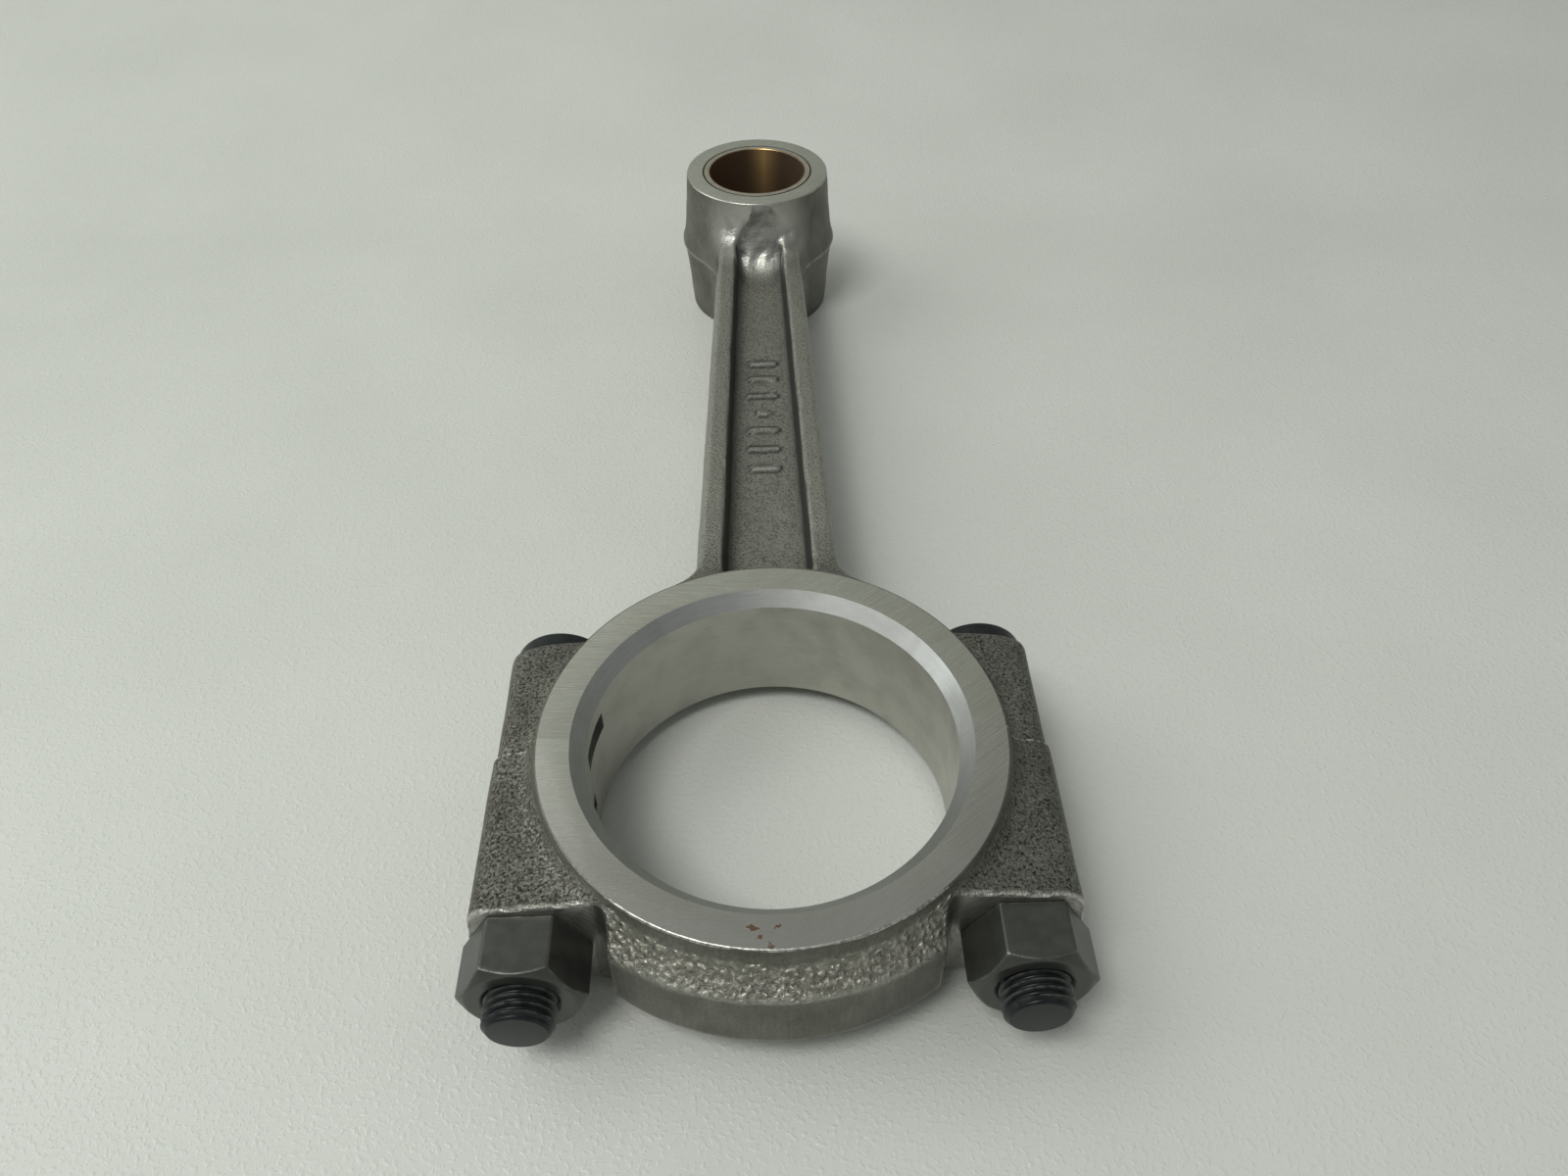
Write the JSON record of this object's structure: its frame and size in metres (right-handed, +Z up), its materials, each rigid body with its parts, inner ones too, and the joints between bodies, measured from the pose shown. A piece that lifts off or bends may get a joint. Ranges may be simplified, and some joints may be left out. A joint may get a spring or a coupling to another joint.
{
  "type": "connecting rod",
  "caption": "Forged steel connecting rod with an I-section beam, a bolted big-end cap and a bushed small end.",
  "frame": {"origin": "middle of the bottom of the bounding box, with the rod lying on its side", "axes": "+X across the two bolts, +Y from the big end to the small end, +Z up along both bore axes"},
  "size_m": [0.0968, 0.2504, 0.0377],
  "materials": {
    "forged_steel": "shot-blasted forging with ground faces",
    "bearing_bronze": "bored bearing bronze in a steel back",
    "black_oxide": "black oxide with worn edges"
  },
  "bodies": {
    "rod": {"rod_body": "forged_steel", "small_end_bush": "bearing_bronze", "bolt_left": "black_oxide", "bolt_right": "black_oxide"},
    "cap": {"rod_cap": "forged_steel"},
    "nut_left": {"nut_left": "black_oxide"},
    "nut_right": {"nut_right": "black_oxide"}
  },
  "joints": [
    {"name": "cap_slide", "type": "slide", "parent": "rod", "child": "cap", "axis": [0, -1, 0], "range_m": [0, 0.05]},
    {"name": "nut_left_spin", "type": "hinge", "parent": "cap", "child": "nut_left", "pos_m": [-0.0383, -0.11585, 0.01885], "axis": [0, -1, 0], "range_deg": [0, 14174.2]},
    {"name": "nut_right_spin", "type": "hinge", "parent": "cap", "child": "nut_right", "pos_m": [0.0383, -0.11585, 0.01885], "axis": [0, -1, 0], "range_deg": [0, 14174.2]}
  ],
  "couplings": [
    {"joint": "nut_left_spin", "follows": "cap_slide", "rad_per_m": 4947.4},
    {"joint": "nut_right_spin", "follows": "cap_slide", "rad_per_m": 4947.4}
  ]
}
